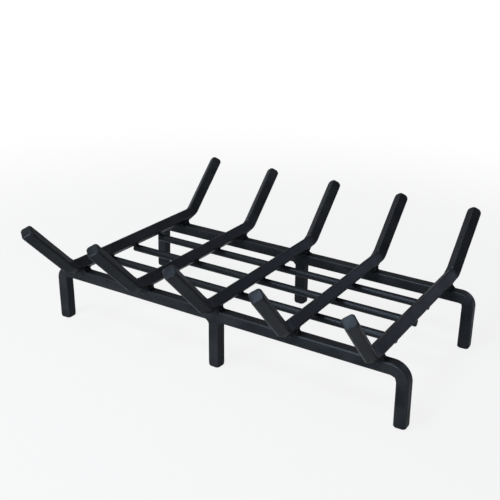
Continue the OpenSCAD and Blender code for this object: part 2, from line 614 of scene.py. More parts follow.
def weld_tree(joint: Joint, rails: "Rails", bars: "LogBars", rods: "EmberRods") -> bpy.types.NodeTree:
    """Geometry tree that fills a joint with rippled weld metal.

    The weld is what a ball of the fillet's radius can't reach between the two
    pieces of steel, so it is hollow and runs out on both. It is drawn as a volume
    and meshed. Its hidden side lies a little under the surface of the steel.

    Args:
        joint: the kind of joint.
        rails: sizes of the rails.
        bars: sizes of the log bars.
        rods: sizes of the ember rods.

    Returns:
        The tree, with inputs for the joint's place, the fillet and the ripples.
    """
    sizes = {
        "Place": Kind.VECTOR,
        "Low": Kind.VECTOR,
        "High": Kind.VECTOR,
        "Voxels X": 60,
        "Voxels Y": 60,
        "Voxels Z": 60,
        "Fillet": 0.0055,
        "Outer Fillet": 0.0055,
        "Outer From": 0.003,
        "Outer To": 0.010,
        "Sink": 0.0004,
        "Run Out": 0.96,
        "Wander Scale": 210.0,
        "Unevenness": 0.3,
        "Ripple Pitch": 0.0016,
        "Ripple Height": 0.0003,
        "Ripple Lag": 0.8,
        "Ripple Crest": 0.7,
        "Ripple From": 0.0003,
        "Ripple To": 0.0012,
        "Least Points": 200.0,
    }
    maker = ShapeMaker("weld_" + joint.value, "Spot", sizes)
    given = maker.given
    here = maker.here()
    place_x, place_y, _ = maker.parts(given("Place"))
    x, y, z = maker.parts(here)
    away = y - place_y
    space = JointSpace(maker, x - place_x, abs(y), z, rails, bars, rods)
    first, second = {
        Joint.BAR_ON_RAIL: lambda: (space.log_bar(), space.rail()),
        Joint.BAR_ON_ROD: lambda: (space.log_bar(), space.rod(away, x)),
        Joint.LEG_UNDER_RAIL: lambda: (space.leg(), space.rail()),
    }[joint]()

    # The fillet is wider on the rail's outer side, and wanders along the joint.
    wobble = (maker.noise(here, given("Wander Scale"), detail=1.5) - 0.5) * 2.0
    outer = maker.range(space.y - rails.spacing / 2, given("Outer From"), given("Outer To"))
    fillet = given("Fillet") + outer * (given("Outer Fillet") - given("Fillet"))
    fillet = fillet * (wobble * given("Unevenness") + 1.0)
    first, second = first + given("Sink"), second + given("Sink")
    least = first.least(second)
    blend = fillet.most(least) - maker.hypot((fillet - first).most(0.0), (fillet - second).most(0.0))

    # A ripple's profile rises slowly and drops fast, as each puddle freezes over the last.
    lean = (first - second) / fillet
    phase = away / given("Ripple Pitch") + lean * lean * given("Ripple Lag") + wobble
    saw = maker.math("FRACT", phase)
    rise = saw * (1.0 - maker.range(saw, given("Ripple Crest"), 1.0))
    bare = maker.range(least, given("Ripple From"), given("Ripple To"))
    blend = blend - rise * bare * given("Ripple Height")
    solid = blend.most(first.most(second) - fillet * given("Run Out"))
    if joint is Joint.LEG_UNDER_RAIL:
        solid = solid.most(space.flush())

    level, steepness = 0.5, 1000.0
    box = {
        "Density": level - solid * steepness,
        "Min": maker.vector("ADD", given("Place"), given("Low")),
        "Max": maker.vector("ADD", given("Place"), given("High")),
        **{"Resolution " + axis: given("Voxels " + axis) for axis in "XYZ"},
    }
    volume = maker.field("GeometryNodeVolumeCube", box)
    mesh = maker.field("GeometryNodeVolumeToMesh", {"Volume": volume, "Threshold": level})

    # Crumbs that the ripples cut off are dropped.
    island = maker.field("GeometryNodeInputMeshIsland", out="Island Index")
    points = maker.field("GeometryNodeAccumulateField", {"Value": 1.0, "Group ID": island}, "Total")
    crumb = maker.math("LESS_THAN", points, given("Least Points"))
    whole = maker.field("GeometryNodeDeleteGeometry", {"Geometry": mesh, "Selection": crumb})
    return maker.dressed(whole)


def spatter_tree() -> bpy.types.NodeTree:
    """Geometry tree that sets small weld droplets on given points.

    Returns:
        The tree, with inputs for the droplets' least and greatest radius and a seed.
    """
    sizes = {"Least Radius": 0.0003, "Greatest Radius": 0.0008, "Seed": 5}
    maker = ShapeMaker("weld_spatter", "Spots", sizes)
    points = maker.field("GeometryNodeMeshToPoints", {"Mesh": maker.given("Spots")})
    drop = maker.field("GeometryNodeMeshIcoSphere", {"Radius": 1.0, "Subdivisions": 3})
    # The random node's inputs 2 and 3 and its output 1 are those for plain numbers.
    least, greatest, seed = (maker.given(title) for title in sizes)
    bounds = {2: least, 3: greatest, "Seed": seed}
    size = maker.field("FunctionNodeRandomValue", bounds, 1, data_type="FLOAT")
    drops = {"Points": points, "Instance": drop, "Scale": size}
    return maker.dressed(maker.field("GeometryNodeInstanceOnPoints", drops))


# --------------------------------------------------------------------------
# Finishes
# --------------------------------------------------------------------------


@cache
def mottle_group() -> bpy.types.NodeTree:
    """Shader group of cloudy changes of tone and gloss, from broad drifts down to fine grain.

    Returns:
        The group, which gives a colour and a roughness.
    """
    inputs = {
        "Place": Kind.VECTOR,
        "Dark": (0.01, 0.01, 0.01, 1.0),
        "Light": (0.02, 0.02, 0.02, 1.0),
        "Drift Scale": 22.0,
        "Grain Scale": 900.0,
        "Grain Share": 0.22,
        "Rough Low": 0.4,
        "Rough High": 0.6,
    }
    maker = GroupMaker("coat_mottle", inputs, {"Color": Kind.COLOR, "Roughness": Kind.FLOAT})
    given = maker.given
    drift_span, grain_span = (0.32, 0.68), (0.3, 0.7)
    drift = maker.noise(given("Place"), given("Drift Scale"), detail=4.0, roughness=0.55)
    grain = maker.noise(given("Place"), given("Grain Scale"), detail=2.0)
    cloud, speck = maker.range(drift, *drift_span), maker.range(grain, *grain_span)
    both = cloud * (1.0 - given("Grain Share")) + speck * given("Grain Share")
    maker.give("Color", maker.mix(both, given("Dark"), given("Light")))
    maker.give("Roughness", given("Rough Low") + both * (given("Rough High") - given("Rough Low")))
    return maker.tree


@cache
def orange_peel_group() -> bpy.types.NodeTree:
    """Shader group with the height of a powder coat: rounded dimples and a few pits.

    Returns:
        The group, which gives a height.
    """
    inputs = {
        "Place": Kind.VECTOR,
        "Peel Scale": 700.0,
        "Pit Scale": 260.0,
        "Peel Amount": 1.0,
        "Pit Amount": 0.5,
    }
    maker = GroupMaker("coat_orange_peel", inputs, {"Height": Kind.FLOAT})
    given = maker.given
    pitted, pit_size = (0.78, 0.9), 0.22
    peel = maker.noise(given("Place"), given("Peel Scale"), detail=1.5, roughness=0.4)
    cells = {"Vector": given("Place"), "Scale": given("Pit Scale")}
    cell = maker.node("ShaderNodeTexVoronoi", cells, feature="F1")
    pick = maker.range(Field(maker, cell.outputs["Color"]), *pitted)
    pit = maker.range(Field(maker, cell.outputs["Distance"]), 0.0, pit_size, 1.0, 0.0) * pick
    maker.give("Height", peel * given("Peel Amount") - pit * given("Pit Amount"))
    return maker.tree


@cache
def wear_and_highlight_group() -> bpy.types.NodeTree:
    """Shader group with a mask of the crests, where the coat is thinner and shows wear, and where a
    painted highlight brightens it.

    Returns:
        The group, which gives the mask, broken up by noise.
    """
    inputs = {"Place": Kind.VECTOR, "Crest": 0.0, "Break Scale": 90.0, "Reach": 0.55}
    maker = GroupMaker("coat_wear_and_highlight", inputs, {"Mask": Kind.FLOAT})
    wear_and_highlight_span = (0.1, 0.75)
    broken = maker.noise(maker.given("Place"), maker.given("Break Scale"), detail=5.0, roughness=0.6)
    lowered = maker.given("Crest") - broken * maker.given("Reach")
    maker.give("Mask", maker.range(lowered, *wear_and_highlight_span))
    return maker.tree


def blank_material(name: str) -> tuple[bpy.types.Material, TreeMaker]:
    """Makes a node material whose tree is empty.

    Args:
        name: its name.

    Returns:
        The material, and the maker that fills its tree.
    """
    made = bpy.data.materials.new(name)
    made.use_nodes = True
    made.node_tree.nodes.clear()
    return made, TreeMaker(made.node_tree)


@dataclass(frozen=True)
class CoatFinish:
    """Matt black powder coat over hot-rolled steel.

    Attributes:
        name: the material's name.
        dark: the coat's deeper tone, as linear red, green and blue.
        light: its paler tone.
        wear_and_highlight_tone: its lighter tone on the crests, partly wear of a thinner coat and partly
            a painted highlight.
        rough_low: roughness where the coat is smoothest.
        rough_high: roughness where it is most matt.
        rubbed_rough: roughness on the crests.
        specular: level of its plain reflection.
        sheen_tint: colour of that reflection.
        peel: bump strength of the orange peel.
        peel_depth: height that the bump stands for.
        shift: how far the patterns are moved, so that finishes differ.
    """

    name: str
    dark: Triple
    light: Triple
    wear_and_highlight_tone: Triple
    rough_low: float = 0.31
    rough_high: float = 0.49
    rubbed_rough: float = 0.3
    specular: float = 0.18
    sheen_tint: Triple = (0.66, 0.8, 1.0)
    peel: float = 0.35
    peel_depth: float = 0.0002
    shift: float = 0.0

    def material(self) -> bpy.types.Material:
        """Builds the material.

        Returns:
            A node material that reads Object coordinates and the mesh's edge attribute.
        """
        made, maker = blank_material(self.name)
        coords = maker.field("ShaderNodeTexCoord", out="Object")
        moved = (self.shift, -self.shift, 0.5 * self.shift)
        place = maker.field("ShaderNodeMapping", {"Vector": coords, "Location": moved})
        read = {"attribute_name": "edge", "attribute_type": "GEOMETRY"}
        crest = maker.field("ShaderNodeAttribute", out="Fac", **read)
        tones = {
            "Place": place,
            "Dark": (*self.dark, 1.0),
            "Light": (*self.light, 1.0),
            "Rough Low": self.rough_low,
            "Rough High": self.rough_high,
        }
        mottle = maker.node("ShaderNodeGroup", tones, node_tree=mottle_group())
        tone, rough = (Field(maker, mottle.outputs[title]) for title in ("Color", "Roughness"))
        wear_and_highlight_inputs = {"Place": place, "Crest": crest}
        wear_and_highlight = maker.field("ShaderNodeGroup", wear_and_highlight_inputs, node_tree=wear_and_highlight_group())
        height = maker.field("ShaderNodeGroup", {"Place": place}, node_tree=orange_peel_group())
        relief = {"Height": height, "Strength": self.peel, "Distance": self.peel_depth}
        coat = {
            # The crests get a lighter tone: partly wear of a thinner coat, partly a painted highlight.
            "Base Color": maker.mix(wear_and_highlight, tone, (*self.wear_and_highlight_tone, 1.0)),
            "Roughness": rough + wear_and_highlight * (self.rubbed_rough - rough),
            "Normal": maker.field("ShaderNodeBump", relief),
            "Specular IOR Level": self.specular,
            "Specular Tint": (*self.sheen_tint, 1.0),
        }
        shader = maker.field("ShaderNodeBsdfPrincipled", coat)
        maker.node("ShaderNodeOutputMaterial", {"Surface": shader})
        return made


# --------------------------------------------------------------------------
# Bent bars
# --------------------------------------------------------------------------


def unit(vector: Points) -> Points:
    """The vector at length 1."""
    return vector / np.linalg.norm(vector)


def crest_reach(size: float, edge: float) -> float:
    """The way from the middle of a square bar to the crest of a rounded edge."""
    return size / 2 + (math.sqrt(2) - 1) * (size / 2 - edge)


def hump(distance: Points, width: float) -> Points:
    """A smooth hump: 1 at no distance, and nearly 0 at twice the width."""
    return np.exp(-((distance / width) ** 2))


def soft_least(a: Points, b: Points | float, blend: float) -> Points:
    """The lesser of two values, with the corner between them rounded off."""
    return -blend * np.logaddexp(-a / blend, -b / blend)


def bend_at(corners: Sequence[Points], k: int) -> tuple[Points, Points, Points, float]:
    """Describes the bend at an inner corner of a line.

    Args:
        corners: the line's corner points.
        k: the corner's number.

    Returns:
        The way in, the way out, the way to the bend's inside, and the turn.
    """
    before, after = unit(corners[k] - corners[k - 1]), unit(corners[k + 1] - corners[k])
    return before, after, unit(after - before), math.acos(float(np.clip(before @ after, -1, 1)))


def bent_line(
    corners: Sequence[Points], radii: Sequence[float], straight_step: float, bend_step: float
) -> Points:
    """Lays points along a line of straights and round bends.

    Args:
        corners: the line's corner points, its two ends included.
        radii: the centre-line radius of the bend at each inner corner.
        straight_step: greatest distance between points on a straight.
        bend_step: greatest distance between points in a bend.

    Returns:
        The points, in order.
    """
    stretches: list[tuple[Points, Points, Points | None]] = []
    begin = corners[0]
    for k, radius in enumerate(radii, 1):
        before, after, inward, turn = bend_at(corners, k)
        setback = radius * math.tan(turn / 2)
        start, end = corners[k] - before * setback, corners[k] + after * setback
        stretches.append((begin, start, None))
        stretches.append((start, end, corners[k] + inward * radius / math.cos(turn / 2)))
        begin = end
    stretches.append((begin, corners[-1], None))
    line: list[Points] = []
    for a, b, centre in stretches:
        if centre is None:
            count = max(2, math.ceil(float(np.linalg.norm(b - a)) / straight_step) + 1)
            piece = [a + (b - a) * t for t in np.linspace(0, 1, count)]
        else:
            u, w = a - centre, b - centre
            angle = math.acos(float(np.clip(u @ w / (u @ u), -1, 1)))
            count = max(3, math.ceil(angle * float(np.linalg.norm(u)) / bend_step) + 1)
            piece = [
                centre + (math.sin((1 - t) * angle) * u + math.sin(t * angle) * w) / math.sin(angle)
                for t in np.linspace(0, 1, count)
            ]
        line += piece if not line else piece[1:]
    return np.array(line)


def with_ends(
    line: Points,
    start: Sequence[tuple[float, float]],
    finish: Sequence[tuple[float, float]],
    gap: float = 0.0008,
) -> tuple[Points, Points]:
    """Puts the rings of a dressed end at both ends of a line.

    Args:
        line: points along the centre line, straight near both ends.
        start: depth and section scale of each ring at the first end, from the tip inward.
        finish: the same at the last end.
        gap: least distance from an end's rings to the next point.

    Returns:
        The points, and the section's scale at each.
    """
    run = np.concatenate([[0.0], np.cumsum(np.linalg.norm(np.diff(line, axis=0), axis=1))])
    (head_depths, head_scales), (tail_depths, tail_scales) = np.array(start).T, np.array(finish).T
    inner = line[(run > head_depths[-1] + gap) & (run < run[-1] - tail_depths[-1] - gap)]
    head = line[0] + np.outer(head_depths, unit(line[1] - line[0]))
    tail = line[-1] + np.outer(tail_depths, unit(line[-2] - line[-1]))
    points = np.vstack([head, inner, tail[::-1]])
    return points, np.concatenate([head_scales, np.ones(len(inner)), tail_scales[::-1]])


@dataclass(frozen=True)
class BendMarks:
    """What bending leaves on a bar, as depths with the reach of each along the bar.

    Attributes:
        pinch: depth of the fold across the inside of a bend.
        pinch_reach: its reach.
        inner_from: height over the centre line at which the inside starts, in half bars.
        inner_span: rise over which it comes to its full depth.
        inner_power: how sharply it comes.
        pit: depth of the dimple in the crest on the inside.
        pit_reach: its reach.
        rim: height of the ring round the dimple, as a share of its depth.
        rim_at: distance of the ring from the dimple's middle.
        rim_reach: its reach.
        pressed: depth of the flat that the bending block leaves on the outside.
        pressed_reach: its reach.
        slack: how far clear of the crest the flat runs out.
        blend: rounding where the flat meets the flanks.
        bulge: swelling of the flanks beside the fold.
        bulge_reach: its reach.
        bulge_at: height of its middle, in half bars.
        bulge_span: how far it reaches over and under that.
    """

    pinch: float = 0.0007
    pinch_reach: float = 0.0032
    inner_from: float = 0.15
    inner_span: float = 0.75
    inner_power: float = 1.5
    pit: float = 0.0
    pit_reach: float = 0.0019
    rim: float = 0.3
    rim_at: float = 0.0046
    rim_reach: float = 0.0018
    pressed: float = 0.0
    pressed_reach: float = 0.0095
    slack: float = 0.0006
    blend: float = 0.0002
    bulge: float = 0.00075
    bulge_reach: float = 0.0075
    bulge_at: float = 0.35
    bulge_span: float = 0.7

    def press(
        self,
        co: Points,
        core: Points,
        arm: Points,
        side: Points,
        half: float,
        crown: float,
        middle: Points,
        inward: Points,
    ) -> None:
        """Leaves the marks of one bend on a bar's points.

        Args:
            co: the points, which are moved.
            core: the centre line beside each.
            arm: the way from there to each point.
            side: the way one flat of the unturned bar faces.
            half: half of the bar's side.
            crown: distance of the bar's crests from its centre line.
            middle: the middle of the bend on the centre line.
            inward: the way to its inside.
        """
        far = np.linalg.norm(core - middle, axis=1)
        height, lateral = (arm @ inward) / half, (arm @ side) / half
        inner = np.clip((height - self.inner_from) / self.inner_span, 0, 1)
        co -= inward * (hump(far, self.pinch_reach) * inner**self.inner_power * self.pinch)[:, None]
        if self.pit:
            tip = np.linalg.norm(co - (middle + inward * (crown - self.pinch)), axis=1)
            dent = hump(tip, self.pit_reach) - self.rim * hump(tip - self.rim_at, self.rim_reach)
            co -= inward * (self.pit * dent * inner)[:, None]
        if self.pressed:
            drop = -height * half
            limit = crown + self.slack - (self.pressed + self.slack) * hump(far, self.pressed_reach)
            co += inward * (drop - soft_least(drop, limit, self.blend))[:, None]
        level = np.clip(1 - np.abs(height - self.bulge_at) / self.bulge_span, 0, 1)
        flank = level * np.clip(np.abs(lateral), 0, 1)
        swell = np.sign(lateral) * hump(far, self.bulge_reach) * flank * self.bulge
        co += side * swell[:, None]


@dataclass
class Bar:
    """One bar swept along a bent centre line, then worked as a smith leaves it.

    Attributes:
        name: the piece's name.
        corners: corner points of its centre line, ends included.
        bend_radii: centre-line radius of each of its bends.
        side: the way one flat of the unturned bar faces.
        stance: how the section stands.
        twist: how far it was turned on its own length when it was welded, in degrees.
        size: side of the square, or diameter of a round rod.
        edge_radius: radius of the long edges.
        end_radii: radius round the first and the last cut end.
        dome: how far the middle of a cut end stands out, if it reached the bar's full width.
        ground: how far in from its first and its last cut end the four corners are ground round.
        ground_face: how much wider than its flat a ground end is left.
        ground_clear: how far over the crests the grinding runs out.
        ground_blend: rounding where the grinding meets the flats.
        rim: how rubbed the rim of a cut end is, where a long crest is 1.
        marks: what bending leaves.
        waver: height of the slow waves that rolling leaves.
        seed: moves the waves, so that no two bars share them.
        facets: points round the section.
        straight_step: greatest distance between rings on a straight.
        bend_step: the same in a bend.
    """

    name: str
    corners: Sequence[Triple]
    bend_radii: Sequence[float]
    side: Triple
    stance: Stance
    twist: float = 0.0
    size: float = BAR_SIZE
    edge_radius: float = BAR_EDGE
    end_radii: tuple[float, float] = (0.0024, 0.0024)
    dome: float = 0.0003
    ground: tuple[float, float] = (0.007, 0.007)
    ground_face: float = 0.0009
    ground_clear: float = 0.0008
    ground_blend: float = 0.00022
    # rim: how much of the crests' lighter tone, wear and painted highlight, the rim of a cut end gets,
    # where a long crest is 1.
    rim: float = 0.75
    marks: BendMarks = BendMarks()
    waver: float = 0.00012
    seed: int = 0
    facets: int = 96
    straight_step: float = 0.004
    bend_step: float = 0.0008

    def build(self, tree: bpy.types.NodeTree, finish: bpy.types.Material) -> bpy.types.Object:
        """Sweeps and works the bar.

        Args:
            tree: the sweep tree.
            finish: the bar's material.

        Returns:
            The bar as a plain mesh object.
        """
        corners = [np.asarray(corner, float) for corner in self.corners]
        line = bent_line(corners, self.bend_radii, self.straight_step, self.bend_step)
        points, girth = with_ends(line, self._end(self.end_radii[0]), self._end(self.end_radii[1]))
        mesh = spots_mesh(self.name + "_line", points, joined=True)
        set_attribute(mesh, "side", np.tile(np.asarray(self.side, float), (len(points), 1)))
        set_attribute(mesh, "girth", girth)
        values = {
            "Bar Size": self.size,
            "Edge Radius": self.edge_radius,
            "Facets": self.facets,
            "Turn": math.radians(self.stance.value + self.twist),
            "Finish": finish,
        }
        made = through_tree(self.name, mesh, tree, values)
        self._work(made.data, points, corners)
        return made

    def _end(self, radius: float) -> list[tuple[float, float]]:
        """The rings of a cut end: a faint dome, then the dressed edge.

        Args:
            radius: radius of the dressed edge.

        Returns:
            Depth and section scale of each ring, from the tip inward.
        """
        face_shares, arc_step = (0.02, 0.3, 0.6, 0.85), 10
        flat = 1 - 2 * radius / self.size
        rings = [(self.dome * (share * flat) ** 2, share * flat) for share in face_shares]
        face = self.dome * flat**2
        for angle in range(0, 91, arc_step):
            a = math.radians(angle)
            rings.append((face + (radius - face) * (1 - math.cos(a)), flat + (1 - flat) * math.sin(a)))
        return rings

    def _work(self, mesh: bpy.types.Mesh, points: Points, corners: Sequence[Points]) -> None:
        """Moves the mesh's points: slow rolling waves, ground tips and marked bends.

        Args:
            mesh: the swept mesh, whose core attribute is the centre line beside each point.
            points: the centre line's points.
            corners: the corners of that line.
        """
        co, core = attribute_of(mesh, "position", 3), attribute_of(mesh, "core", 3)
        girth, crest = attribute_of(mesh, "girth", 1), attribute_of(mesh, "edge", 1)
        half = self.size / 2
        crown = crest_reach(self.size, self.edge_radius)
        self._grind(co, core, girth, crest, points, crown)
        arm = co - core
        self._roll(co, arm)
        for k, radius in enumerate(self.bend_radii, 1):
            _, _, inward, turn = bend_at(corners, k)
            middle = corners[k] + inward * radius * (1 / math.cos(turn / 2) - 1)
            self.marks.press(co, core, arm, np.asarray(self.side, float), half, crown, middle, inward)
        set_attribute(mesh, "position", co)
        set_attribute(mesh, "edge", crest)
        for title in ("core", "side", "girth"):
            if title in mesh.attributes:
                mesh.attributes.remove(mesh.attributes[title])
        mesh.update()

    def _roll(self, co: Points, arm: Points) -> None:
        """Leaves the slow waves of the rolling mill on the bar's points.

        Args:
            co: the points, which are moved.
            arm: the way to each from the centre line.
        """
        scale, finer, finer_height, drawn_in = 26.0, 2.7, 0.4, 0.8
        step_x, step_y = 7.3, -3.1
        out = arm / np.maximum(np.linalg.norm(arm, axis=1), TINY)[:, None]
        moved = Vector((self.seed * step_x, self.seed * step_y, 0.0))
        for k, spot in enumerate(co):
            place = Vector(spot) * scale + moved
            wave = noise.noise(place) + finer_height * noise.noise(place * finer)
            co[k] += out[k] * (wave - drawn_in) * self.waver

    def _grind(
        self, co: Points, core: Points, girth: Points, crest: Points, points: Points, crown: float
    ) -> None:
        """Rounds the four corners of each cut end, and marks its rim as a crest, which gets the lighter
        crest tone: wear and a painted highlight.

        Args:
            co: the mesh's points, which are moved.
            core: the centre line beside each.
            girth: the section's scale there.
            crest: how much of a crest each point is, which is changed.
            points: the centre line's points.
            crown: distance of the bar's crests from its centre line.
        """
        half = self.size / 2
        ends = zip((points[0], points[-1]), (points[1], points[-2]), self.end_radii, self.ground)
        for tip, inner, radius, ground in ends:
            depth = (core - tip) @ unit(inner - tip)
            near = np.where((depth < ground) & (np.linalg.norm(core - tip, axis=1) < 2 * ground))[0]
            arm = co[near] - core[near]
            reach = np.maximum(np.linalg.norm(arm, axis=1), TINY)
            rise = np.sqrt(np.clip(1 - (1 - np.clip(depth[near] / ground, 0, 1)) ** 2, 0, 1))
            least = half - radius + self.ground_face
            limit = least + (crown + self.ground_clear - least) * rise
            kept = soft_least(reach, limit, self.ground_blend)
            co[near] = core[near] + arm * (kept / reach)[:, None]
            # The rim counts as a crest, so the coat paints it lighter: wear and a painted highlight.
            flat = 1 - radius / half
            turn = np.arcsin(np.clip((girth[near] - flat) / (1 - flat), 0, 1))
            crest[near] = np.maximum(crest[near] * np.sin(turn) ** 2, self.rim * np.sin(2 * turn))


def keep(piece: bpy.types.Object, slot: Slot, *nodes: str) -> None:
    """Lets a finished piece ride on the grate and stand for its CAD nodes.

    Args:
        piece: the finished piece, at the origin.
        slot: the material slot of its finish; not used.
        nodes: the CAD nodes that it stands for.
    """
    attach(piece, ROOT)
    if nodes:
        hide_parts(*nodes)
    stands_for = ", ".join(nodes) or "itself"
    LOG.info("%s: %d faces, stands for %s", piece.name, len(piece.data.polygons), stands_for)


# --------------------------------------------------------------------------
# The grate's bars
# --------------------------------------------------------------------------


@dataclass
class Rails:
    """The two long rails, each bent down at its ends into two corner legs.

    Attributes:
        length: over the outer faces of the corner legs.
        spacing: between the rails' middles.
        top: height of their top faces.
        bend_radius: centre-line radius of the bends.
        wide_radius: the same at the front rail's right end, which was bent less tightly.
        splays: how far the right leg of the front and the rear rail leans in at its top.
        lean: how far the foot of the front rail's left leg leans in.
        lean_per_lift: that lean over how far up the same foot's middle is.
        inset: how far in the right feet stand.
        lift: how far up their middles are, so that their corners clear the hearth.
        marks: what bending leaves.
    """

    length: float = cad_size("front_rail", X)
    spacing: float = cad_middle("rear_rail", Y) - cad_middle("front_rail", Y)
    top: float = cad_size("front_rail", Z)
    bend_radius: float = 0.014
    wide_radius: float = 0.0185
    splays: tuple[float, float] = (0.003, 0.0018)
    lean: float = 0.0028
    lean_per_lift: float = 12.0
    inset: float = 0.0003
    lift: float = 0.0002
    marks: BendMarks = BendMarks(pinch=0.0009, bulge=0.0005)

    @property
    def under(self) -> float:
        """Height of their undersides."""
        return self.top - BAR_SIZE

    def rail(self, sign: int) -> Bar:
        """Describes one rail.

        Args:
            sign: -1 for the front rail, 1 for the rear rail.

        Returns:
            Its bar.
        """
        x, y, z = (self.length - BAR_SIZE) / 2, sign * self.spacing / 2, self.top - BAR_SIZE / 2
        splay, lean, last = self.splays[1], 0.0, self.bend_radius
        if sign < 0:
            splay, lean, last = self.splays[0], self.lean, self.wide_radius
        left_foot = (-x + lean, y, lean / self.lean_per_lift)
        right_foot = (x - self.inset, y, self.lift)
        return Bar(
            name="front_rail_bar" if sign < 0 else "rear_rail_bar",
            corners=[left_foot, (-x, y, z), (x - splay, y, z), right_foot],
            bend_radii=(self.bend_radius, last),
            side=(0, 1, 0),
            stance=Stance.FLAT,
            marks=self.marks,
            seed=3 + sign,
        )

    def build(self, tree: bpy.types.NodeTree, finish: bpy.types.Material) -> None:
        """Builds both rails.

        Args:
            tree: the sweep tree.
            finish: their material.
        """
        for sign, node in ((-1, "front_rail"), (1, "rear_rail")):
            keep(self.rail(sign).build(tree, finish), Slot.BAR, node)


@dataclass
class MiddleLegs:
    """The straight leg under the middle of each rail.

    Attributes:
        rails: the rails over them.
        twist: how far each is turned on its own length, in degrees.
        lean: how far each foot stands to the right of its top.
        lift: how far up the foot's middle is, so that its corner clears the hearth.
    """

    rails: Rails
    twist: float = -5.0
    lean: float = 0.0018
    lift: float = 0.0001

    def build(self, tree: bpy.types.NodeTree, finish: bpy.types.Material) -> None:
        """Builds both legs.

        Args:
            tree: the sweep tree.
            finish: their material.
        """
        for sign, node in ((-1, "front_middle_leg"), (1, "rear_middle_leg")):
            y = sign * self.rails.spacing / 2
            leg = Bar(
                name=node + "_bar",
                corners=[(self.lean, y, self.lift), (0, y, self.rails.under)],
                bend_radii=(),
                side=(0, 1, 0),
                stance=Stance.FLAT,
                twist=self.twist,
                seed=9 + sign,
                straight_step=0.003,
            )
            keep(leg.build(tree, finish), Slot.BAR, node)


@dataclass
class LogBars:
    """The log bars, edge down across the rails, with both ends bent up.

    Attributes:
        rails: the rails that they lie on.
        count: how many there are.
        overhang: how far they go on past a rail's middle, up to the corner of the bend.
        arm: from a bend's corner to the tip.
        angle: rise of the raised ends, in degrees.
        inner_radius: radius of the inside of the bends.
        crest: from a bar's middle to the crest of an edge, to a tenth of a micrometre.
        front_ends: radius round each bar's front end, as each was dressed by hand.
        rear_end: radius round the rear ends.
        leans: how far each bar's front tip stands to the right of its bend.
        ground: how far in the corners of the front and the rear ends are ground.
        marks: what bending leaves.
    """

    rails: Rails
    count: int = 5
    overhang: float = 0.028
    arm: float = 0.1205
    angle: float = 45.0
    inner_radius: float = 0.015
    crest: float = round(crest_reach(BAR_SIZE, BAR_EDGE), 7)
    front_ends: tuple[float, ...] = (0.0032, 0.0028, 0.0022, 0.0017, 0.0016)
    rear_end: float = 0.0050
    leans: tuple[float, ...] = (-0.0035, -0.0045, -0.0005, 0.0045, 0.0038)
    ground: tuple[float, float] = (0.007, 0.012)
    marks: BendMarks = BendMarks(pit=0.0013, pressed=0.0022)

    @property
    def centre(self) -> float:
        """Height of their centre lines over the hearth: they rest on the rails, edge down."""
        return self.rails.top + self.crest

    @property
    def corner(self) -> float:
        """Distance of the bends' corners from the middle of the grate."""
        return self.rails.spacing / 2 + self.overhang

    @property
    def bend_radius(self) -> float:
        """Centre-line radius of the bends."""
        return self.inner_radius + self.crest

    def places(self) -> list[float]:
        """Where the bars lie along the rails, from the left."""
        return [cad_middle(f"log_bar_{number}", X) for number in range(1, self.count + 1)]

    def build(self, tree: bpy.types.NodeTree, finish: bpy.types.Material) -> None:
        """Builds all of them, numbered from the left.

        Args:
            tree: the sweep tree.
            finish: their material.
        """
        rise = math.radians(self.angle)
        tip, high = self.corner + self.arm * math.cos(rise), self.centre + self.arm * math.sin(rise)
        shapes = zip(self.places(), self.leans, self.front_ends)
        for number, (x, lean, front_end) in enumerate(shapes, 1):
            bar = Bar(
                name=f"log_bar_{number}_bar",
                corners=[
                    (x + lean, -tip, high),
                    (x, -self.corner, self.centre),
                    (x, self.corner, self.centre),
                    (x, tip, high),
                ],
                bend_radii=(self.bend_radius, self.bend_radius),
                side=(1, 0, 0),
                stance=Stance.EDGE_DOWN,
                end_radii=(front_end, self.rear_end),
                ground=self.ground,
                marks=self.marks,
                seed=20 + number,
            )
            keep(bar.build(tree, finish), Slot.BAR, f"log_bar_{number}")


@dataclass
class EmberRods:
    """The round rods under the log bars.

    Attributes:
        rails: the rails, whose tops are as high as the rods' tops.
        diameter: of each rod.
        spacing: from the middle rod to each of the others.
        short: how much each end of the front and the rear rod stops short of the CAD's.
        middle_short: the same for the middle rod.
        end_radius: radius round their cut ends.
        ground: how far in their ends are ground.
        waver: height of their waves.
    """

    rails: Rails
    diameter: float = cad_size("front_ember_rod", Z)
    spacing: float = cad_middle("rear_ember_rod", Y)
    short: float = 0.0026
    middle_short: float = 0.0014
    end_radius: float = 0.001
    ground: float = 0.0012
    waver: float = 0.00004

    @property
    def reach(self) -> float:
        """From the middle of the grate to the front and rear rods' ends."""
        return cad_size("front_ember_rod", X) / 2 - self.short

    def build(self, tree: bpy.types.NodeTree, finish: bpy.types.Material) -> None:
        """Builds the three rods.

        Args:
            tree: the sweep tree.
            finish: their material.
        """
        # With an edge radius of nearly its half, the swept square is round.
        z, round_edge = self.rails.top - self.diameter / 2, self.diameter / 2 - 1e-6
        for sign, node in ((-1, "front_ember_rod"), (0, "middle_ember_rod"), (1, "rear_ember_rod")):
            short = self.short if sign else self.middle_short
            half, y = cad_size(node, X) / 2 - short, sign * self.spacing
            rod = Bar(
                name=node + "_bar",
                corners=[(-half, y, z), (half, y, z)],
                bend_radii=(),
                side=(0, 1, 0),
                stance=Stance.FLAT,
                size=self.diameter,
                edge_radius=round_edge,
                end_radii=(self.end_radius, self.end_radius),
                ground=(self.ground, self.ground),
                waver=self.waver,
                seed=40 + sign,
                facets=64,
                straight_step=0.005,
            )
            keep(rod.build(tree, finish), Slot.ROD, node)


# --------------------------------------------------------------------------
# Welds
# --------------------------------------------------------------------------


